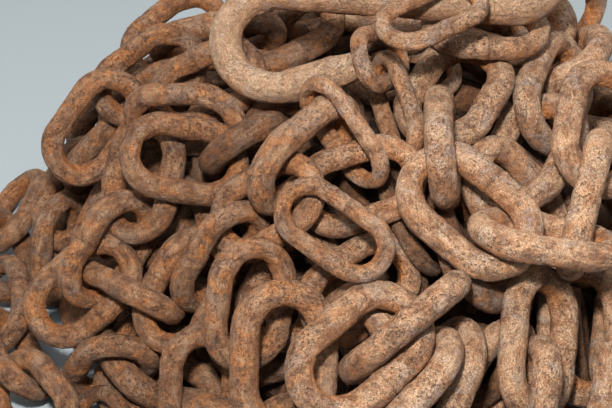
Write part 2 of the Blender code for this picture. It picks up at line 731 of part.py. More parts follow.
def make_core(collection, finish):
    """A plain mound with a flat underside, in place of the hidden links: half its section, turned round."""
    mesh = bpy.data.meshes.new("core")
    section = bmesh.new()
    before = None
    for ring in range(CORE_RINGS + 2):
        angle = math.pi / 2 * (1 - ring / CORE_RINGS)
        spot = (CORE_RADIUS * math.cos(angle), 0, CORE_HEIGHT * math.sin(angle))
        point = section.verts.new(spot if ring <= CORE_RINGS else (0, 0, 0))
        if before:
            section.edges.new((before, point))
        before = point
    section.to_mesh(mesh)
    section.free()
    core = add_object("heap_core", mesh, collection, finish)
    turn = core.modifiers.new("turn", "SCREW")
    turn.steps = turn.render_steps = CORE_SIDES
    turn.use_merge_vertices = True
    turn.merge_threshold = WELD


def settled_links():
    links = Links()
    place_loose_links(links)
    place_runs(links)
    links.freeze()
    matrix = hook_matrix()
    settle(links, placed_hook(matrix))
    for _ in range(SEAT_ROUNDS):
        seat_pieces(links, matrix)
        matrix = seated_hook(links, matrix)
    return links, matrix


def main():
    for thing in list(bpy.data.objects):
        bpy.data.objects.remove(thing)
    collection = bpy.data.collections.new("heap_of_chain")
    helpers = bpy.data.collections.new("helpers")
    for group in (collection, helpers):
        bpy.context.scene.collection.children.link(group)
    links, hook_place = settled_links()
    finishes = {name: finish_named(name) for name in FINISHES}
    make_core(collection, finishes["core"])
    make_hook(hook_place, collection, finishes["hook"])
    make_loose_links(links, collection, finishes)
    for name, (size, _, _, _) in RUNS.items():
        run_link = mesh_of(bar_curve("bar_run", link_path(size), SIZES[size][0] / 2, RUN_SIDES, True))
        make_run(name, links, run_link, collection, helpers, finishes["run"])


main()
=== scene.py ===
"""The looks of a heap of rusty iron chain, in metres. Each link and the hook are made anew, finely, where
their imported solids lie: worn in the crowns, pitted and flaked with rust. More links fill the inside."""

import json
import math

import bpy
import numpy as np
from mathutils import Matrix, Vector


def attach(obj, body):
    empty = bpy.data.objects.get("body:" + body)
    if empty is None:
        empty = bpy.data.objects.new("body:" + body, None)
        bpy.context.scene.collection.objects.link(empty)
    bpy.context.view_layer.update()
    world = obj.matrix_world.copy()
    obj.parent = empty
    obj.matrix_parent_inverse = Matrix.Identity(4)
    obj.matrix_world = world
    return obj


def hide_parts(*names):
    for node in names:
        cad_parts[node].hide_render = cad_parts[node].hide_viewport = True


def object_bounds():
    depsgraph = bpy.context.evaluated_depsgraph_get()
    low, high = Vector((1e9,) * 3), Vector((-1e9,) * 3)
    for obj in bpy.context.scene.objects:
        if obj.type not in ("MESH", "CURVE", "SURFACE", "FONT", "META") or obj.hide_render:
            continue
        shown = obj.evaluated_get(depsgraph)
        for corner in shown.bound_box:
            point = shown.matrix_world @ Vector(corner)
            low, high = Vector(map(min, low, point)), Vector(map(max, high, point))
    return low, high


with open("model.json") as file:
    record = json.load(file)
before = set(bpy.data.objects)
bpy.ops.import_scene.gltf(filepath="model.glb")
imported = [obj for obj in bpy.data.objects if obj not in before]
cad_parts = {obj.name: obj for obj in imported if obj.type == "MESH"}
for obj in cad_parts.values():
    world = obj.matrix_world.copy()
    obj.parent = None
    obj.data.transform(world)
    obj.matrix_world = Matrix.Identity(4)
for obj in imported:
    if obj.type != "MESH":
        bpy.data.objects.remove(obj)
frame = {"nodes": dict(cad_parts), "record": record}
cad_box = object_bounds()

# Chain sizes: bar diameter, outer length and outer width of a link, as in the solids
LINK_SIZES = {
    "heavy": (0.0125, 0.067, 0.0445),
    "medium": (0.0105, 0.058, 0.0385),
    "light": (0.0078, 0.055, 0.030),
}
SIZE_OF_SLOT = {"heavy_link": "heavy", "medium_link": "medium", "light_link": "light"}
MEDIUM_RUNS = ("run_left_foot", "run_left_rim")

# Hook: bar, bend and eye on their middle lines, and the straight stretches between, as in the solids
HOOK_BAR = 0.0145
HOOK_BEND_RADIUS = 0.0230
HOOK_ARM = 0.033
HOOK_ARM_RISE = math.radians(24)
HOOK_SHANK = 0.100
HOOK_EYE_RADIUS = 0.017
HOOK_EYE_TURN = math.radians(285)
HOOK_TIP_TAPER = 0.82

# How the solids' bars are made, which is how a link is found again in a run
SOLID_CROWN_STEPS = 4
SOLID_RUN_SIDES = 6
SOLID_HOOK_SIDES = 8
SOLID_HOOK_STEP = math.radians(24)
SHORTEST_BAR_EDGE = 0.0046
LEAST_LINK_FACES = 30

# How finely the new bars are made: the length of a ring, and the sides
RING_LOOSE, SIDES_LOOSE = 0.0012, 30
RING_RUN, SIDES_RUN = 0.0016, 22
RING_INNER, SIDES_INNER = 0.0036, 12
RING_HOOK, SIDES_HOOK = 0.0011, 40

# The inside of the heap. Each fill is how many links are thrown in, the middle and radii of the mound that
# they fill, between which degrees round from +X, the least and most share of the mound's radii, how unevenly
# they lie on it, how much of a link may lie over those on the heap, and how deep one may sink into another
FILLS = (
    (900, (-0.012, 0.0, 0.0), (0.180, 0.172, 0.148), (0, 360), (0.72, 0.93), 0.7, 0.15, 0.0010),
    (900, (0.0, 0.0, 0.0), (0.172, 0.164, 0.145), (-10, 190), (0.74, 0.95), 0.7, 0.35, 0.0010),
    (700, (0.0, 0.0, 0.0), (0.175, 0.175, 0.148), (0, 360), (0.66, 0.76), 0.4, 0.30, 0.0024),
    (350, (0.0, 0.0, 0.0), (0.195, 0.195, 0.055), (184, 240), (0.78, 0.97), 0.6, 0.60, 0.0010),
)
# The crumb mound under the inner links and how it is made; its near-black colour is painted shade
CRUMB_AND_SHADE_MOUND = np.array((0.122, 0.122, 0.096))
CRUMB_SIZE = 0.011
CRUMB_HEIGHT = 0.005
CRUMB_RINGS, CRUMB_SIDES = 60, 160

# How an inner link is pushed clear: the share of the mound that it keeps within, the overlap that is let
# pass, the steps and how strong each is, and after which step it is given up with how much overlap left
INNER_SIZES = ("heavy", "heavy", "medium", "light")
INNER_EDGE = 0.965
INNER_SLACK = 0.0003
INNER_STEPS = 12
INNER_PUSH = 1.6
INNER_HOPE_STEPS, INNER_HOPE = 4, 0.0045

# How far off others are looked at, how hard a link is to turn, and how far apart its checked points are
INNER_REACH = 0.062
INNER_GYRATION = 0.022
INNER_CHECK = 0.005
SHOWN_CHECK = 3

# A point covers another from this far beside it and this far in front
INNER_COVERS = 0.006
INNER_IN_FRONT = 0.007

# From which to which share of its mound dust comes to lie on an inner link; deeper, painted shade darkens it
DUST_AND_SHADE_REACHES = (0.76, 0.95)

# Seeds of the random numbers and of the bars' own patterns
INNER_SEED = 5
HOOK_BAR_SEED, INNER_BAR_SEED = 401, 500
UNEVEN_SEED, FLAKE_SEED, PIT_SEED, GRAIN_SEED = 11, 23, 37, 41
DUSTY_SEED, CRUMB_SEED = 53, 91

# Relief of the skin: pitch and height of each kind, in metres
FORGE_PITCH, FORGE_HEIGHT = 0.016, 0.0008
FLAKE_PITCH = np.array((0.0085, 0.0034, 0.0034))
FLAKE_HEIGHT = 0.00022
PIT_PITCH, PIT_DEPTH = 0.0027, 0.00050
GRAIN_PITCH, GRAIN_HEIGHT = 0.0012, 0.00022
BAR_SHIFT = 0.37

# Wear and welds, as shares of the bar's radius, and how long a weld's swelling and its line are
SEAT_WEAR = 0.15
WELD_SWELL, WELD_LENGTH = 0.07, 0.0035
WELD_GROOVE, WELD_LINE = 0.05, 0.0008
HOLLOW_SIDE = 0.35

# The rounded ends of the open bar: how long they are, how full, and how wide their last ring is
HOOK_CAP = 0.0045
CAP_POWER = 2.2
CAP_END = 0.004

# Dust lies thicker on the right of the heap: from where to where, and how that wanders
DUSTY_FROM_TO = (-0.085, 0.040)
DUSTY_DRIFT, DUSTY_PITCH = 0.10, 0.030
TONE_SEED = 71

# The margin round each strip of the map of the surface, as a share of the strip
STRIP_EDGE = 0.012

# Rust, linear: brown scale from dark to light, orange from deep to bright, dust, grey scale, pits and specks
RUST_STOPS = (
    (0.38, (0.105, 0.043, 0.021, 1)),
    (0.47, (0.215, 0.099, 0.050, 1)),
    (0.55, (0.335, 0.172, 0.094, 1)),
    (0.64, (0.460, 0.280, 0.168, 1)),
)
ORANGE_STOPS = ((0.38, (0.270, 0.078, 0.020, 1)), (0.60, (0.580, 0.225, 0.060, 1)))
DUST_STOPS = ((0.36, (0.385, 0.242, 0.146, 1)), (0.64, (0.545, 0.384, 0.254, 1)))
GREY_RUST = (0.300, 0.222, 0.190, 1)
PIT_COLOUR = (0.062, 0.026, 0.017, 1)
SPECK_COLOUR = (0.68, 0.53, 0.40, 1)
# Crumbs in the heap, near-black as painted shade for its depths
CRUMB_AND_SHADE_STOPS = ((0.4, (0.014, 0.008, 0.005, 1)), (0.7, (0.080, 0.042, 0.025, 1)))
BUMP_HEIGHT = 0.0020
CRUMB_BUMP_HEIGHT = 0.004
MIX_A, MIX_B = 6, 7

# For each slot: the material's name, how much dust lies on what faces up and how much all over, how orange
# the rust is, how bright, and how strong the grit is where that isn't in full
RUSTS = {
    "heavy_link": ("rusty_heavy_link", 0.75, 0.15, 0.80, 1.0),
    "medium_link": ("rusty_medium_link", 0.62, 0.10, 0.90, 0.99),
    "light_link": ("rusty_light_link", 0.50, 0.05, 0.85, 0.95),
    "run_of_links": ("rusty_run_of_links", 0.65, 0.10, 0.80, 0.95),
    # Inner links' rust is dimmer than the rest, as painted shade for the depth of the heap
    "inner_chain": ("rusty_inner_links_painted_shade", 0.45, 0.0, 0.80, 0.66),
    "hook": ("rusty_hook", 0.92, 0.55, 0.60, 0.90, 0.45),
}

FLOOR_COLOUR = (0.262, 0.293, 0.304, 1)
FLOOR_WIDTH = 8.0

# The photograph's view of the heap
VIEW_ELEVATION = math.radians(40)
VIEW_DISTANCE = 0.84
VIEW_CENTRE = np.array((-0.032, 0.0193, 0.023))
VIEW_LENS = 100
VIEW_SENSOR = 36

# Lights: size and power of the one by the camera, and how far it stands above and left of the camera; then
# position, target, size and power of the others; then the surround's colour and strength
KEY_SIZE, KEY_POWER = 0.07, 11.3
KEY_ABOVE, KEY_ASIDE = 0.20, -0.05
LIGHTS = {
    "left": ((-1.7, 0.5, 1.3), (0, 0, 0.05), 1.4, 7),
    "right": ((1.6, 1.0, 1.4), (0, 0, 0.05), 1.4, 9),
    "back": ((0.1, 2.0, 1.6), (0, 0, 0.05), 1.6, 10),
    "above": ((0, 0.3, 3.4), (0, 0.31, 0), 9.0, 150),
}
SURROUND_COLOUR, SURROUND_STRENGTH = (0.93, 0.96, 1.0, 1), 0.14


def unit(vectors):
    return vectors / np.maximum(np.linalg.norm(vectors, axis=-1, keepdims=True), 1e-12)


def smooth(low, high, values):
    """0 below low, 1 above high and an even curve between them."""
    share = np.clip((values - low) / (high - low), 0, 1)
    return share * share * (3 - 2 * share)


def lattice(cells, seed):
    """A fixed random number from 0 to 1 for each whole-numbered cell."""
    cells = cells.astype(np.int64).astype(np.uint32)
    mixed = cells[..., 0] * np.uint32(374761393) + cells[..., 1] * np.uint32(668265263)
    mixed += cells[..., 2] * np.uint32(2246822519) + np.uint32(seed * 3266489917 % 2**32)
    mixed = (mixed ^ (mixed >> np.uint32(15))) * np.uint32(2654435761)
    mixed = (mixed ^ (mixed >> np.uint32(13))) * np.uint32(1274126177)
    return (mixed ^ (mixed >> np.uint32(16))) / np.float64(2**32)


def noise(points, seed):
    """Smooth noise from 0 to 1 with features one unit across."""
    base = np.floor(points)
    part = points - base
    part = part * part * (3 - 2 * part)
    total = np.zeros(points.shape[:-1])
    for corner in np.ndindex(2, 2, 2):
        weight = np.prod(np.where(corner, part, 1 - part), axis=-1)
        total += weight * lattice(base + corner, seed)
    return total


def layered(points, layers, seed):
    """Noise with finer layers, each half as strong as the one before it, from 0 to 1."""
    total, reach = 0.0, 0.0
    for layer in range(layers):
        total = total + noise(points * 2**layer, seed + 17 * layer) / 2**layer
        reach += 1 / 2**layer
    return total / reach


class Line:
    """The middle line of a bar: points, the way along, the way out of the bend, the way through, the
    distance gone at each point, and how far each point is into a crown."""

    def __init__(self, points, along, out, gone, crown):
        self.points, self.along, self.out = points, along, out
        self.through = np.cross(along, out)
        self.gone, self.crown = gone, crown

    def placed(self, centre, axes):
        points, along, out = self.points @ axes.T + centre, self.along @ axes.T, self.out @ axes.T
        return Line(points, along, out, self.gone, self.crown)


def oval_line(size, ring):
    """The closed middle line of a link in its own plane, from its weld, in the middle of one side."""
    bar, length, width = LINK_SIZES[size]
    radius = (width - bar) / 2
    half = (length - bar) / 2 - radius
    arc = math.pi * radius
    total = 4 * half + 2 * arc
    count = round(total / ring)
    gone = np.arange(count) * total / count
    stops = np.cumsum((half, arc, 2 * half, arc, half))
    part = np.searchsorted(stops, gone, side="right")
    since = gone - np.concatenate(((0,), stops))[part]
    stretches = [part == 0, part == 1, part == 2, part == 3]
    turns = [-math.pi / 2, since / radius - math.pi / 2, math.pi / 2, since / radius + math.pi / 2]
    turn = np.select(stretches, turns, -math.pi / 2)
    middle = np.select(stretches, [since, half, half - since, -half], since - half)
    out = np.stack((np.cos(turn), np.sin(turn), 0 * turn), axis=-1)
    points = radius * out
    points[:, 0] = middle + radius * np.cos(turn)
    along = np.stack((-np.sin(turn), np.cos(turn), 0 * turn), axis=-1)
    crown = np.clip(np.cos(turn), 0, 1) + np.clip(-np.cos(turn), 0, 1)
    return Line(points, along, out, gone, crown)


def hook_line(ring):
    """The hook's middle line in its own plane, from the tip: arm, bend, shank and eye."""
    start = 1.5 * math.pi + HOOK_ARM_RISE
    bend = (start - math.pi / 2) * HOOK_BEND_RADIUS
    eye = HOOK_EYE_TURN * HOOK_EYE_RADIUS
    stops = np.cumsum((HOOK_ARM, bend, HOOK_SHANK, eye))
    count = round(stops[-1] / ring)
    gone = np.linspace(0, stops[-1], count)
    points, along, out = np.zeros((count, 3)), np.zeros((count, 3)), np.zeros((count, 3))
    first = HOOK_BEND_RADIUS * np.array((math.cos(start), math.sin(start)))
    arm_way = np.array((math.sin(start), -math.cos(start)))
    for row, distance in enumerate(gone):
        if distance < stops[0]:
            way, side = arm_way, np.array((math.cos(start), math.sin(start)))
            spot = first - (stops[0] - distance) * arm_way
        elif distance < stops[1]:
            angle = start - (distance - stops[0]) / HOOK_BEND_RADIUS
            side = np.array((math.cos(angle), math.sin(angle)))
            way = np.array((math.sin(angle), -math.cos(angle)))
            spot = HOOK_BEND_RADIUS * side
        elif distance < stops[2]:
            way, side = np.array((1.0, 0.0)), np.array((0.0, 1.0))
            spot = np.array((distance - stops[1], HOOK_BEND_RADIUS))
        else:
            angle = (distance - stops[2]) / HOOK_EYE_RADIUS - math.pi / 2
            side = -np.array((math.cos(angle), math.sin(angle)))
            way = np.array((-math.sin(angle), math.cos(angle)))
            spot = np.array((HOOK_SHANK, HOOK_BEND_RADIUS + HOOK_EYE_RADIUS)) - HOOK_EYE_RADIUS * side
        points[row, :2], along[row, :2], out[row, :2] = spot, way, side
    return Line(points, along, out, gone, np.zeros(count))


def nodes_points(node):
    """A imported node's corners, each once, and its triangles."""
    mesh = node.data
    co = np.zeros(len(mesh.vertices) * 3)
    mesh.vertices.foreach_get("co", co)
    mesh.calc_loop_triangles()
    faces = np.zeros(len(mesh.loop_triangles) * 3, dtype=np.int32)
    mesh.loop_triangles.foreach_get("vertices", faces)
    rounded, index = np.unique(np.round(co.reshape(-1, 3), 6), axis=0, return_inverse=True)
    return rounded, index.reshape(-1)[faces].reshape(-1, 3)


def principal_axes(points):
    """The middle of a cloud of points, and its axes as columns, the longest first."""
    centre = points.mean(axis=0)
    _, _, ways = np.linalg.svd(points - centre, full_matrices=False)
    ways[2] = np.cross(ways[0], ways[1])
    return centre, ways.T


def solid_corners(points, radius, sides, closed):
    """Where the corners of a solid's bar lie round its coarse middle line."""
    if closed:
        ahead = unit(np.roll(points, -1, axis=0) - points)
        behind = np.roll(ahead, 1, axis=0)
    else:
        steps = unit(np.diff(points, axis=0))
        ahead, behind = np.concatenate((steps, steps[-1:])), np.concatenate((steps[:1], steps))
    out = np.cross(unit(ahead + behind), (0.0, 0.0, 1.0))
    angles = 2 * math.pi * np.arange(sides) / sides
    ring = np.cos(angles)[:, None, None] * out + np.sin(angles)[:, None, None] * np.array((0.0, 0.0, 1.0))
    return (points + radius * ring).reshape(-1, 3)


def fitted(shape, points, centre, axes, rounds=25, kept=0.8):
    """Moves and turns a known shape's corners onto the points nearest to them, from a first guess."""
    for _ in range(rounds):
        placed = shape @ axes.T + centre
        apart = np.linalg.norm(placed[:, None] - points[None], axis=-1)
        nearest = apart.argmin(axis=1)
        off = apart[np.arange(len(shape)), nearest]
        good = off <= np.quantile(off, kept)
        a, b = shape[good], points[nearest[good]]
        u, _, v = np.linalg.svd((a - a.mean(axis=0)).T @ (b - b.mean(axis=0)))
        flip = np.diag((1, 1, np.sign(np.linalg.det((u @ v).T))))
        axes = (u @ flip @ v).T
        centre = b.mean(axis=0) - a.mean(axis=0) @ axes.T
    return centre, axes, off[good].max()


def coarse_oval(size):
    """The coarse middle line that the solids' links are made on."""
    bar, length, width = LINK_SIZES[size]
    radius = (width - bar) / 2
    half = (length - bar) / 2 - radius
    angles = math.pi * (np.arange(SOLID_CROWN_STEPS + 1) / SOLID_CROWN_STEPS - 0.5)
    crown = np.stack((half + radius * np.cos(angles), radius * np.sin(angles), 0 * angles), axis=-1)
    return np.concatenate((crown, crown * (-1, -1, 1)))


def coarse_hook():
    """The coarse middle line that the solid hook is made on."""
    line = hook_line(RING_HOOK)
    start = 1.5 * math.pi + HOOK_ARM_RISE
    steps = math.ceil((start - math.pi / 2) / SOLID_HOOK_STEP)
    angles = np.linspace(start, math.pi / 2, steps + 1)
    bend = HOOK_BEND_RADIUS * np.stack((np.cos(angles), np.sin(angles)), axis=-1)
    steps = math.ceil(HOOK_EYE_TURN / SOLID_HOOK_STEP)
    angles = np.linspace(0, HOOK_EYE_TURN, steps + 1) - math.pi / 2
    eye = HOOK_EYE_RADIUS * np.stack((np.cos(angles), np.sin(angles)), axis=-1)
    eye += (HOOK_SHANK, HOOK_BEND_RADIUS + HOOK_EYE_RADIUS)
    tip = line.points[0, :2]
    flat = np.concatenate((tip[None], (tip + bend[:1]) / 2, bend, eye))
    return np.concatenate((flat, np.zeros((len(flat), 1))), axis=1)


def links_in_run(node, size):
    """The centre and axes of each link of a run, found from the long faces that only the bars have."""
    points, faces = nodes_points(node)
    corners = points[faces]
    edges = np.linalg.norm(corners - np.roll(corners, 1, axis=1), axis=-1)
    faces = faces[edges.min(axis=1) > SHORTEST_BAR_EDGE]
    group = np.arange(len(points))
    while True:
        least = group[faces].min(axis=1)
        after = group.copy()
        np.minimum.at(after, faces, least[:, None])
        if (after == group).all():
            break
        group = after
    shape = solid_corners(coarse_oval(size), LINK_SIZES[size][0] / 2, SOLID_RUN_SIDES, True)
    poses = []
    for name in np.unique(group[faces[:, 0]]):
        mine = faces[group[faces[:, 0]] == name]
        if len(mine) >= LEAST_LINK_FACES:
            cloud = points[np.unique(mine)]
            centre, axes, _ = fitted(shape, cloud, *principal_axes(cloud))
            poses.append((centre, axes))
    return poses


def hook_pose(node):
    """The hook's centre and axes: the best of the ways in which its solid's own axes may point."""
    points, _ = nodes_points(node)
    shape = solid_corners(coarse_hook(), HOOK_BAR / 2, SOLID_HOOK_SIDES, False)
    shape_centre, shape_axes = principal_axes(shape)
    centre, axes = principal_axes(points)
    best = None
    for x, y in ((1, 1), (1, -1), (-1, 1), (-1, -1)):
        turned = axes @ np.diag((x, y, x * y)) @ shape_axes.T
        found = fitted(shape, points, centre - shape_centre @ turned.T, turned)
        if best is None or found[2] < best[2]:
            best = found
    return best[:2]


class Surface:
    """A bar's skin as rings of corners, with what its material reads at each of them."""

    def __init__(self, line, radii, sides, seed, closed, capped=0.0):
        rings = len(line.points)
        angles = 2 * math.pi * np.arange(sides) / sides
        turn = np.stack((np.cos(angles), np.sin(angles)), axis=-1)
        facing = turn[:, :1] * line.out[:, None] + turn[:, 1:] * line.through[:, None]
        radius = radii.max()
        self.bar = np.zeros((rings, sides, 3))
        self.bar[..., 0] = line.gone[:, None] + BAR_SHIFT * seed
        self.bar[..., 1:] = radius * turn + BAR_SHIFT * seed
        inward = smooth(0.1, 0.9, -turn[:, 0])
        self.hollow = inward * (HOLLOW_SIDE + (1 - HOLLOW_SIDE) * line.crown[:, None] ** 2)
        spots = line.points[:, None] + radius * facing
        height = relief(spots, self.bar, seed)
        height -= SEAT_WEAR * radius * inward * smooth(0.55, 1.0, line.crown)[:, None]
        if closed:
            total = line.gone[-1] + line.gone[1]
            away = np.minimum(line.gone, total - line.gone)[:, None]
            swell = np.exp(-((away / WELD_LENGTH) ** 2)) * (1 + 0.5 * turn[:, 1] ** 2)
            height += radius * (WELD_SWELL * swell - WELD_GROOVE * np.exp(-((away / WELD_LINE) ** 2)))
        self.line = line
        self.co = line.points[:, None] + (radii[:, None, None] + height[..., None]) * facing
        if capped:
            self.co = line.points[:, None] + (self.co - line.points[:, None]) * cap_shares(line.gone, capped)
        self.co = np.clip(self.co, cad_box[0], cad_box[1])
        self.closed, self.rings, self.sides = closed, rings, sides
        self.length, self.girth = line.gone[-1], 2 * math.pi * radius
        self.tone = lattice(np.array((seed, 3, 5)), TONE_SEED)
        drift = DUSTY_DRIFT * (layered(self.co / DUSTY_PITCH, 2, DUSTY_SEED) - 0.5)
        self.dust_and_shade = smooth(*DUSTY_FROM_TO, self.co[..., 0] + drift)

    def quads(self):
        """The corner numbers of each face, and the ring and side that each corner is at."""
        last = self.rings if self.closed else self.rings - 1
        ring, side = np.meshgrid(np.arange(last), np.arange(self.sides), indexing="ij")
        ring, side = ring.reshape(-1), side.reshape(-1)
        rings = np.stack((ring, ring + 1, ring + 1, ring), axis=-1)
        sides = np.stack((side, side, side + 1, side + 1), axis=-1)
        return (rings % self.rings) * self.sides + sides % self.sides, rings, sides


def cap_shares(gone, reach):
    """How far an open bar's rings are drawn in near its two ends, to close it with rounded ends."""
    left = np.minimum(gone, gone[-1] - gone) / reach
    shares = np.sqrt(np.clip(1 - (1 - np.clip(left, 0, 1)) ** CAP_POWER, CAP_END, 1))
    return shares[:, None, None]


def relief(spots, bar, seed):
    """How far rusting and forging move the skin in or out."""
    uneven = layered(spots / FORGE_PITCH, 2, UNEVEN_SEED) - 0.5
    flakes = layered(bar / FLAKE_PITCH, 3, FLAKE_SEED)
    layers = smooth(0.46, 0.54, flakes) + smooth(0.60, 0.66, flakes)
    pits = smooth(0.60, 0.82, layered(spots / PIT_PITCH, 2, PIT_SEED))
    grain = layered(spots / GRAIN_PITCH, 2, GRAIN_SEED) - 0.5
    return FORGE_HEIGHT * uneven + FLAKE_HEIGHT * (layers - 1) - PIT_DEPTH * pits + GRAIN_HEIGHT * grain


def strip_corners(surfaces):
    """For each surface, where its faces' corners lie on a map of straight strips, packed in a square."""
    cuts = [max(1, round(math.sqrt(s.length / s.girth))) for s in surfaces]
    total = sum(cuts)
    columns = max(1, round(math.sqrt(total * surfaces[0].girth * cuts[0] / surfaces[0].length)))
    rows = math.ceil(total / columns)
    before, maps = 0, []
    for surface, cut in zip(surfaces, cuts):
        _, rings, sides = surface.quads()
        along = rings * cut / surface.rings
        strip = np.minimum(np.floor(along[:, :1] + 1e-9), cut - 1)
        across = (along - strip) * (1 - 2 * STRIP_EDGE) + STRIP_EDGE
        up = sides / surface.sides * (1 - 2 * STRIP_EDGE) + STRIP_EDGE
        place = strip + before
        u, v = (place % columns + across) / columns, (place // columns + up) / rows
        maps.append(np.stack((u, v), axis=-1))
        before += cut
    return np.concatenate(maps).reshape(-1, 2)


def make_piece(name, surfaces, material, slot, *nodes):
    """One mesh of all the surfaces, which stands for the named nodes."""
    faces, first = [], 0
    for surface in surfaces:
        faces.append(surface.quads()[0] + first)
        first += surface.rings * surface.sides
    mesh = bpy.data.meshes.new(name)
    corners = np.concatenate([s.co.reshape(-1, 3) for s in surfaces])
    mesh.from_pydata(corners, [], np.concatenate(faces))
    bar = mesh.attributes.new("bar", "FLOAT_VECTOR", "POINT")
    bar.data.foreach_set("vector", np.concatenate([s.bar.reshape(-1, 3) for s in surfaces]).ravel())
    hollow = mesh.attributes.new("hollow", "FLOAT", "POINT")
    hollow.data.foreach_set("value", np.concatenate([s.hollow.ravel() for s in surfaces]))
    dust_and_shade = mesh.attributes.new("dust_and_shade", "FLOAT", "POINT")
    dust_and_shade.data.foreach_set("value", np.concatenate([s.dust_and_shade.ravel() for s in surfaces]))
    tone = mesh.attributes.new("tone", "FLOAT", "POINT")
    tone.data.foreach_set("value", np.concatenate([np.full(s.rings * s.sides, s.tone) for s in surfaces]))
    layer = mesh.uv_layers.new(name="OFBake")
    layer.data.foreach_set("uv", strip_corners(surfaces).ravel())
    mesh.shade_smooth()
    mesh.materials.append(material)
    piece = bpy.data.objects.new(name, mesh)
    bpy.context.scene.collection.objects.link(piece)
    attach(piece, "root")
    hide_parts(*nodes)
    return piece


class Graph:
    """A material's nodes, with short names for the kinds that the rust is made of."""

    def __init__(self, name):
        self.material = bpy.data.materials.new(name)
        self.material.use_nodes = True
        self.nodes = self.material.node_tree.nodes
        self.links = self.material.node_tree.links
        self.shader = self.nodes["Principled BSDF"]
        self.spots = self.nodes.new("ShaderNodeTexCoord").outputs["Object"]

    def feed(self, socket, value):
        if isinstance(value, bpy.types.NodeSocket):
            self.links.new(value, socket)
        elif value is not None:
            socket.default_value = value

    def node(self, kind, values, **settings):
        made = self.nodes.new(kind)
        for key, value in settings.items():
            setattr(made, key, value)
        for key, value in values.items():
            self.feed(made.inputs[key], value)
        return made

    def attribute(self, name):
        return self.node("ShaderNodeAttribute", {}, attribute_name=name)

    def math(self, operation, a, b=None):
        return self.node("ShaderNodeMath", {0: a, 1: b}, operation=operation).outputs[0]

    def stretched(self, vector, scale):
        values = {0: vector, 1: scale}
        return self.node("ShaderNodeVectorMath", values, operation="MULTIPLY").outputs[0]

    def noise(self, vector, scale, detail=3.0, roughness=0.6, distortion=0.0):
        values = {"Vector": vector, "Scale": scale, "Detail": detail, "Roughness": roughness}
        return self.node("ShaderNodeTexNoise", values | {"Distortion": distortion}).outputs[0]

    def cells(self, vector, scale, randomness=1.0):
        values = {"Vector": vector, "Scale": scale, "Randomness": randomness}
        return self.node("ShaderNodeTexVoronoi", values, feature="F1").outputs["Distance"]

    def step(self, value, low, high, to_low=0.0, to_high=1.0):
        """An even curve from to_low, where the value is low, to to_high, where it is high."""
        values = {"Value": value, "From Min": low, "From Max": high, "To Min": to_low, "To Max": to_high}
        made = self.node("ShaderNodeMapRange", values, interpolation_type="SMOOTHSTEP")
        return made.outputs["Result"]

    def mix(self, share, a, b, blend="MIX"):
        made = self.nodes.new("ShaderNodeMix")
        made.data_type, made.blend_type = "RGBA", blend
        self.feed(made.inputs["Factor"], share)
        self.feed(made.inputs[MIX_A], a)
        self.feed(made.inputs[MIX_B], b)
        return made.outputs[2]

    def ramp(self, value, stops):
        made = self.node("ShaderNodeValToRGB", {"Fac": value})
        elements = made.color_ramp.elements
        while len(elements) < len(stops):
            elements.new(0.5)
        for element, (place, colour) in zip(elements, stops):
            element.position, element.color = place, colour
        return made.outputs["Color"]


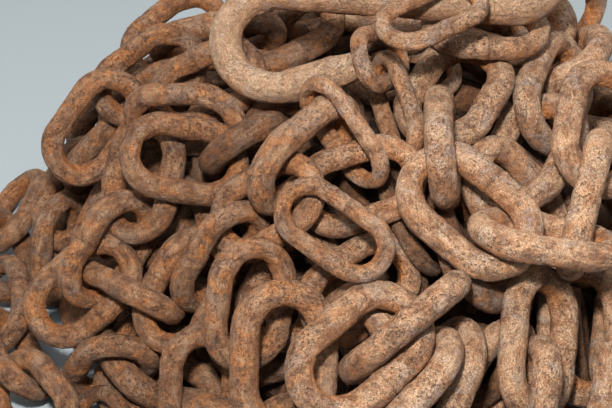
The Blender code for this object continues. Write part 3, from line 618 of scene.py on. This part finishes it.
def rust_material(name, dusting, evenness, orange, brightness, grittiness=1.0):
    """Iron rusted all over: brown scale in flakes and pits, orange in hollows, tan dust on what faces up."""
    g = Graph(name)
    bar = g.attribute("bar").outputs["Vector"]
    hollow, tone = g.attribute("hollow").outputs["Fac"], g.attribute("tone").outputs["Fac"]
    dust_and_shade = g.attribute("dust_and_shade").outputs["Fac"]
    broad = g.noise(g.spots, 38, 3, 0.55)
    patchy = g.noise(g.spots, 150, 5, 0.62, 0.6)
    hue = g.noise(g.spots, 105, 5, 0.62, 1.0)
    fine = g.noise(g.spots, 520, 5, 0.68)
    grit = g.noise(g.spots, 1500, 4, 0.7)
    streaks = g.noise(g.stretched(bar, (120, 380, 380)), 1, 5, 0.66, 0.3)
    ridges = g.noise(g.stretched(bar, (190, 430, 430)), 1, 5, 0.6, 0.8)
    ridges = g.math("ABSOLUTE", g.math("SUBTRACT", ridges, 0.5))
    up = g.nodes.new("ShaderNodeSeparateXYZ")
    g.feed(up.inputs[0], g.nodes.new("ShaderNodeNewGeometry").outputs["Normal"])

    body = g.math("ADD", g.math("MULTIPLY", patchy, 0.5), g.math("MULTIPLY", streaks, 0.5))
    colour = g.ramp(body, RUST_STOPS)
    grey = g.math("MULTIPLY", g.step(hue, 0.47, 0.37, 0.0, 0.65), g.step(dust_and_shade, 0.0, 1.0, 0.55, 1.0))
    colour = g.mix(grey, colour, GREY_RUST)
    warm = g.math("MULTIPLY", g.step(hue, 0.50, 0.61), g.step(patchy, 0.36, 0.54, 0.3, 0.8 * orange))
    warm = g.math("MULTIPLY", warm, g.step(dust_and_shade, 0.0, 1.0, 1.0, 0.75))
    in_hollows = g.math("MULTIPLY", hollow, g.step(patchy, 0.30, 0.52, 0.45, 1.1 * orange))
    warm = g.math("MAXIMUM", warm, in_hollows)
    colour = g.mix(warm, colour, g.ramp(fine, ORANGE_STOPS))
    dust = g.math("MULTIPLY", g.step(up.outputs["Z"], -0.35, 0.85), g.step(fine, 0.36, 0.60, 0.30, 1.0))
    dust = g.math("MULTIPLY", dust, g.step(patchy, 0.38, 0.56, 0.20, 1.0))
    evenly = g.step(up.outputs["Z"], -0.60, 0.40, 0.0, evenness)
    dust = g.math("MAXIMUM", dust, g.math("MULTIPLY", evenly, g.step(fine, 0.30, 0.55, 0.75, 1.0)))
    dust = g.math("MULTIPLY", dust, g.step(hollow, 0.0, 0.8, dusting, 0.15 * dusting))
    dust = g.math("MULTIPLY", dust, g.step(dust_and_shade, 0.0, 1.0, 0.22, 1.0))
    colour = g.mix(dust, colour, g.ramp(grit, DUST_STOPS))
    holes = g.step(g.noise(g.spots, 820, 4, 0.65), 0.55, 0.64)
    holes = g.math("MULTIPLY", holes, g.step(broad, 0.42, 0.58, 0.25, 1.0))
    cracks = g.math("MULTIPLY", g.step(ridges, 0.016, 0.002), g.step(fine, 0.46, 0.56))
    holes = g.math("MAXIMUM", holes, cracks)
    colour = g.mix(g.math("MULTIPLY", holes, 0.78 * grittiness), colour, PIT_COLOUR)
    specks = g.step(g.noise(g.spots, 1900, 2, 0.5), 0.64, 0.71, 0.0, 0.7 * grittiness)
    colour = g.mix(g.math("MULTIPLY", specks, dust_and_shade), colour, SPECK_COLOUR)
    shade = g.step(grit, 0.36, 0.64, 1 - 0.28 * grittiness, 1 + 0.26 * grittiness)
    shade = g.math("ADD", shade, g.step(tone, 0.0, 1.0, -0.09, 0.09))
    # Darker where dust is thin; on deep inner links this darkening is painted shade
    shade = g.math("MULTIPLY", shade, g.step(dust_and_shade, 0.0, 1.0, 0.78 * brightness, 1.14 * brightness))
    green = g.math("MULTIPLY", shade, g.step(dust_and_shade, 0.0, 1.0, 0.95, 0.99))
    blue = g.math("MULTIPLY", shade, g.step(dust_and_shade, 0.0, 1.0, 0.85, 0.95))
    tint = g.node("ShaderNodeCombineColor", {0: shade, 1: green, 2: blue}).outputs[0]
    colour = g.mix(1.0, colour, tint, "MULTIPLY")
    g.feed(g.shader.inputs["Base Color"], colour)
    g.feed(g.shader.inputs["Roughness"], g.step(dust, 0.0, 0.6, 0.66, 0.93))
    g.shader.inputs["Specular IOR Level"].default_value = 0.34
    g.shader.inputs["Metallic"].default_value = 0.0

    height = g.math("ADD", g.math("MULTIPLY", fine, 0.9), g.math("MULTIPLY", grit, 0.55))
    height = g.math("ADD", height, g.math("MULTIPLY", streaks, 0.8))
    height = g.math("SUBTRACT", height, g.math("MULTIPLY", holes, 0.5))
    values = {"Height": height, "Distance": BUMP_HEIGHT, "Strength": 0.9}
    g.feed(g.shader.inputs["Normal"], g.node("ShaderNodeBump", values).outputs[0])
    return g.material


def crumb_and_shade_material():
    """Rust crumbs and old dirt deep inside the heap, coloured near-black as painted shade for its depths."""
    g = Graph("rust_crumbs_painted_shade")
    coarse, fine = g.noise(g.spots, 160, 4, 0.7), g.noise(g.spots, 620, 3, 0.7)
    g.feed(g.shader.inputs["Base Color"], g.ramp(coarse, CRUMB_AND_SHADE_STOPS))
    g.shader.inputs["Roughness"].default_value = 0.95
    g.shader.inputs["Specular IOR Level"].default_value = 0.1
    height = g.math("ADD", coarse, g.math("MULTIPLY", fine, 0.4))
    values = {"Height": height, "Distance": CRUMB_BUMP_HEIGHT, "Strength": 1.0}
    g.feed(g.shader.inputs["Normal"], g.node("ShaderNodeBump", values).outputs[0])
    return g.material


def link_surface(size, centre, axes, ring, sides, seed):
    line = oval_line(size, ring).placed(centre, axes)
    bar = LINK_SIZES[size][0]
    return Surface(line, np.full(len(line.points), bar / 2), sides, seed, True)


def hook_surface(centre, axes):
    line = hook_line(RING_HOOK).placed(centre, axes)
    taper = HOOK_TIP_TAPER + (1 - HOOK_TIP_TAPER) * smooth(0, HOOK_ARM / 2, line.gone)
    hook = Surface(line, HOOK_BAR / 2 * taper, SIDES_HOOK, HOOK_BAR_SEED, False, HOOK_CAP)
    hook.dust_and_shade[:] = 1
    return hook


def inner_surfaces(surfaces):
    """Links that fill the heap under those on it: thrown in at random, pushed clear, kept where they fit."""
    lines = [surface.line.points[::SHOWN_CHECK] for surface in surfaces]
    points = np.concatenate(lines)
    radii = np.concatenate([np.full(len(a), s.girth / (2 * math.pi)) for a, s in zip(lines, surfaces)])
    shown = points
    shapes = {size: oval_line(size, INNER_CHECK).points for size in LINK_SIZES}
    random = np.random.default_rng(INNER_SEED)
    found = []
    for tries, middle, mound_radii, (first, last), (least, most), uneven, over, sunk in FILLS:
        mound = np.array((middle, mound_radii))
        for _ in range(tries):
            size = INNER_SIZES[random.integers(len(INNER_SIZES))]
            bar = LINK_SIZES[size][0] / 2
            turn, rise = math.radians(random.uniform(first, last)), random.uniform(0, 1)
            flat = math.sqrt(1 - rise * rise)
            way = np.array((flat * math.cos(turn), flat * math.sin(turn), rise))
            centre = random.uniform(least, most) * mound[1] * way + mound[0]
            through = unit(unit(way / mound[1]) + uneven * random.normal(size=3))
            along = unit(np.cross(through, random.normal(size=3)))
            axes = np.stack((along, np.cross(through, along), through), axis=1)
            near = np.linalg.norm(points - centre, axis=-1) < INNER_REACH
            room = radii[near] + bar - sunk
            place = pushed_clear(shapes[size], bar, centre, axes, points[near], room, mound)
            if not place:
                continue
            line = shapes[size] @ place[1].T + place[0]
            if covering(line, shown, place[0], mound) >= over:
                continue
            made = link_surface(size, *place, RING_INNER, SIDES_INNER, INNER_BAR_SEED + len(found))
            level = np.linalg.norm((made.co - mound[0]) / mound[1], axis=-1)
            # Deep inner links get less dust and a darker colour, painted shade for the heap's depth
            made.dust_and_shade *= smooth(*DUST_AND_SHADE_REACHES, level)
            found.append(made)
            points = np.concatenate((points, line))
            radii = np.concatenate((radii, np.full(len(line), bar)))
    return found


def covering(line, shown, centre, mound):
    """How much of a link lies over those on the heap, seen from outside it or from the camera."""
    outward = unit((centre - mound[0]) / mound[1] ** 2)
    sight = unit(VIEW_CENTRE + VIEW_DISTANCE * view_axes()[1] - centre)
    shares = []
    for way in (outward, sight) if outward @ sight > 0 else (outward,):
        along = (shown - centre) @ way
        beside = np.linalg.norm(shown - centre - along[:, None] * way, axis=-1)
        between = line[:, None] - shown[(beside < INNER_REACH) & (along < INNER_REACH)][None]
        ahead = between @ way
        beside = np.sqrt(np.maximum((between**2).sum(-1) - ahead**2, 0))
        shares.append(((beside < INNER_COVERS) & (ahead > INNER_IN_FRONT)).any(axis=1).mean())
    return max(shares)


def pushed_clear(shape, bar, centre, axes, points, room, mound):
    """Where a link comes to lie once the bars near it have pushed it off, or nothing if it doesn't fit."""
    for step in range(INNER_STEPS):
        line = shape @ axes.T + centre
        between = line[:, None] - points[None]
        apart = np.linalg.norm(between, axis=-1)
        need = np.maximum(room - apart, 0)
        below = np.maximum(bar - line[:, 2], 0)
        level = np.linalg.norm((line - mound[0]) / mound[1], axis=-1)
        proud = np.maximum(level - INNER_EDGE, 0) * np.linalg.norm(line - mound[0], axis=-1)
        worst = max(need.max(initial=0), below.max(), proud.max())
        if worst < INNER_SLACK:
            return centre, axes
        if step > INNER_HOPE_STEPS and worst > INNER_HOPE:
            return None
        push = (between * (need / np.maximum(apart, 1e-9))[..., None]).sum(axis=1)
        push[:, 2] += below
        push -= proud[:, None] * unit((line - mound[0]) / mound[1] ** 2)
        touched = (need > 0).sum() + (below > 0).sum() + (proud > 0).sum()
        turn = INNER_PUSH * np.cross(line - centre, push).sum(axis=0) / (touched * INNER_GYRATION**2)
        centre = centre + INNER_PUSH * push.sum(axis=0) / touched
        along = unit(axes[:, 0] + np.cross(turn, axes[:, 0]))
        across = axes[:, 1] + np.cross(turn, axes[:, 1])
        across = unit(across - (across @ along) * along)
        axes = np.stack((along, across, np.cross(along, across)), axis=1)
    return None


def make_crumbs_and_shade():
    """Crumb and flake mound under the inner links, rough on top, flat below, near-black as painted shade."""
    rings, sides = CRUMB_RINGS, CRUMB_SIDES
    rise = math.pi / 2 * (np.arange(rings + 1) / rings)[:, None]
    turn = 2 * math.pi * np.arange(sides) / sides
    across = np.cos(rise)
    way = np.stack((across * np.cos(turn), across * np.sin(turn), np.sin(rise) + 0 * turn), axis=-1)
    points = CRUMB_AND_SHADE_MOUND * way
    points = points - CRUMB_HEIGHT * layered(points / CRUMB_SIZE, 3, CRUMB_SEED)[..., None] * way
    points[0, :, 2] = 0
    points[-1] = points[-1].mean(axis=0)
    corners = points.reshape(-1, 3)
    ring, side = np.meshgrid(np.arange(rings), np.arange(sides), indexing="ij")
    near, far = side.ravel(), (side.ravel() + 1) % sides
    ring = ring.ravel() * sides
    faces = np.stack((ring + near, ring + far, ring + sides + far, ring + sides + near), axis=-1)
    mesh = bpy.data.meshes.new("inner_crumbs_and_shade")
    mesh.from_pydata(corners, [], faces.tolist() + [list(range(sides - 1, -1, -1))])
    mesh.shade_smooth()
    mesh.materials.append(crumb_and_shade_material())
    crumbs = bpy.data.objects.new("inner_crumbs_and_shade", mesh)
    bpy.context.scene.collection.objects.link(crumbs)
    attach(crumbs, "root")
    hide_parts("heap_core")


def make_floor():
    half = FLOOR_WIDTH / 2
    mesh = bpy.data.meshes.new("floor")
    corners = [(-half, -half, 0), (half, -half, 0), (half, half, 0), (-half, half, 0)]
    mesh.from_pydata(corners, [], [(0, 1, 2, 3)])
    g = Graph("pale_floor")
    g.shader.inputs["Base Color"].default_value = FLOOR_COLOUR
    g.shader.inputs["Roughness"].default_value = 0.8
    mesh.materials.append(g.material)
    floor = bpy.data.objects.new("floor", mesh)
    bpy.context.scene.collection.objects.link(floor)


def add_light(name, position, target, size, power):
    light = bpy.data.lights.new(name, "AREA")
    light.shape, light.size, light.energy = "DISK", size, power
    lamp = bpy.data.objects.new(name, light)
    bpy.context.scene.collection.objects.link(lamp)
    lamp.matrix_world = facing_matrix(np.array(position), np.array(target))


def facing_matrix(position, target, upward=(0, 0, 1)):
    """Places a lamp or camera at a position so that it looks at the target."""
    back = unit(position - target)
    right = unit(np.cross(np.array(upward, dtype=float), back))
    rows = np.eye(4)
    rows[:3, :3], rows[:3, 3] = np.stack((right, np.cross(back, right), back), axis=1), position
    return Matrix(rows.tolist())


def view_axes():
    up = np.array((0.0, math.sin(VIEW_ELEVATION), math.cos(VIEW_ELEVATION)))
    toward = np.array((0.0, -math.cos(VIEW_ELEVATION), math.sin(VIEW_ELEVATION)))
    return up, toward


def make_lights():
    """A light close above the camera, wide ones above and on the other sides, and an even pale surround."""
    up, toward = view_axes()
    key = VIEW_CENTRE + VIEW_DISTANCE * toward + KEY_ABOVE * up + np.array((KEY_ASIDE, 0, 0))
    add_light("key", key, VIEW_CENTRE, KEY_SIZE, KEY_POWER)
    for name, light in LIGHTS.items():
        add_light(name, *light)
    world = bpy.data.worlds.new("surround")
    world.use_nodes = True
    background = world.node_tree.nodes["Background"]
    background.inputs["Color"].default_value = SURROUND_COLOUR
    background.inputs["Strength"].default_value = SURROUND_STRENGTH
    bpy.context.scene.world = world


def make_camera():
    up, toward = view_axes()
    lens = bpy.data.cameras.new("camera")
    lens.lens, lens.sensor_width = VIEW_LENS, VIEW_SENSOR
    lens.clip_start = 0.01
    camera = bpy.data.objects.new("camera", lens)
    bpy.context.scene.collection.objects.link(camera)
    camera.matrix_world = facing_matrix(VIEW_CENTRE + VIEW_DISTANCE * toward, VIEW_CENTRE, up)
    bpy.context.scene.camera = camera
    bpy.context.scene.view_settings.view_transform = "Standard"


def main():
    slots = {entry["node"]: entry["material_slot"] for entry in frame["record"]["subparts"]}
    materials = {slot: rust_material(*values) for slot, values in RUSTS.items()}
    seed, made = 1, []
    for name, node in sorted(frame["nodes"].items()):
        slot = slots[name]
        if name == "hook":
            surfaces = [hook_surface(*hook_pose(node))]
        elif name.startswith("run_"):
            surfaces = []
            size = "medium" if name in MEDIUM_RUNS else "heavy"
            for centre, axes in links_in_run(node, size):
                surfaces.append(link_surface(size, centre, axes, RING_RUN, SIDES_RUN, seed))
                seed += 1
        elif name.startswith("link_"):
            centre, axes = principal_axes(nodes_points(node)[0])
            surfaces = [link_surface(SIZE_OF_SLOT[slot], centre, axes, RING_LOOSE, SIDES_LOOSE, seed)]
            seed += 1
        else:
            continue
        make_piece(name + "_iron", surfaces, materials[slot], slot, name)
        made += surfaces
    inner = inner_surfaces(made)
    make_piece("inner_links", inner, materials["inner_chain"], "inner_chain", "heap_core")
    make_crumbs_and_shade()
    make_floor()
    make_lights()
    make_camera()


main()
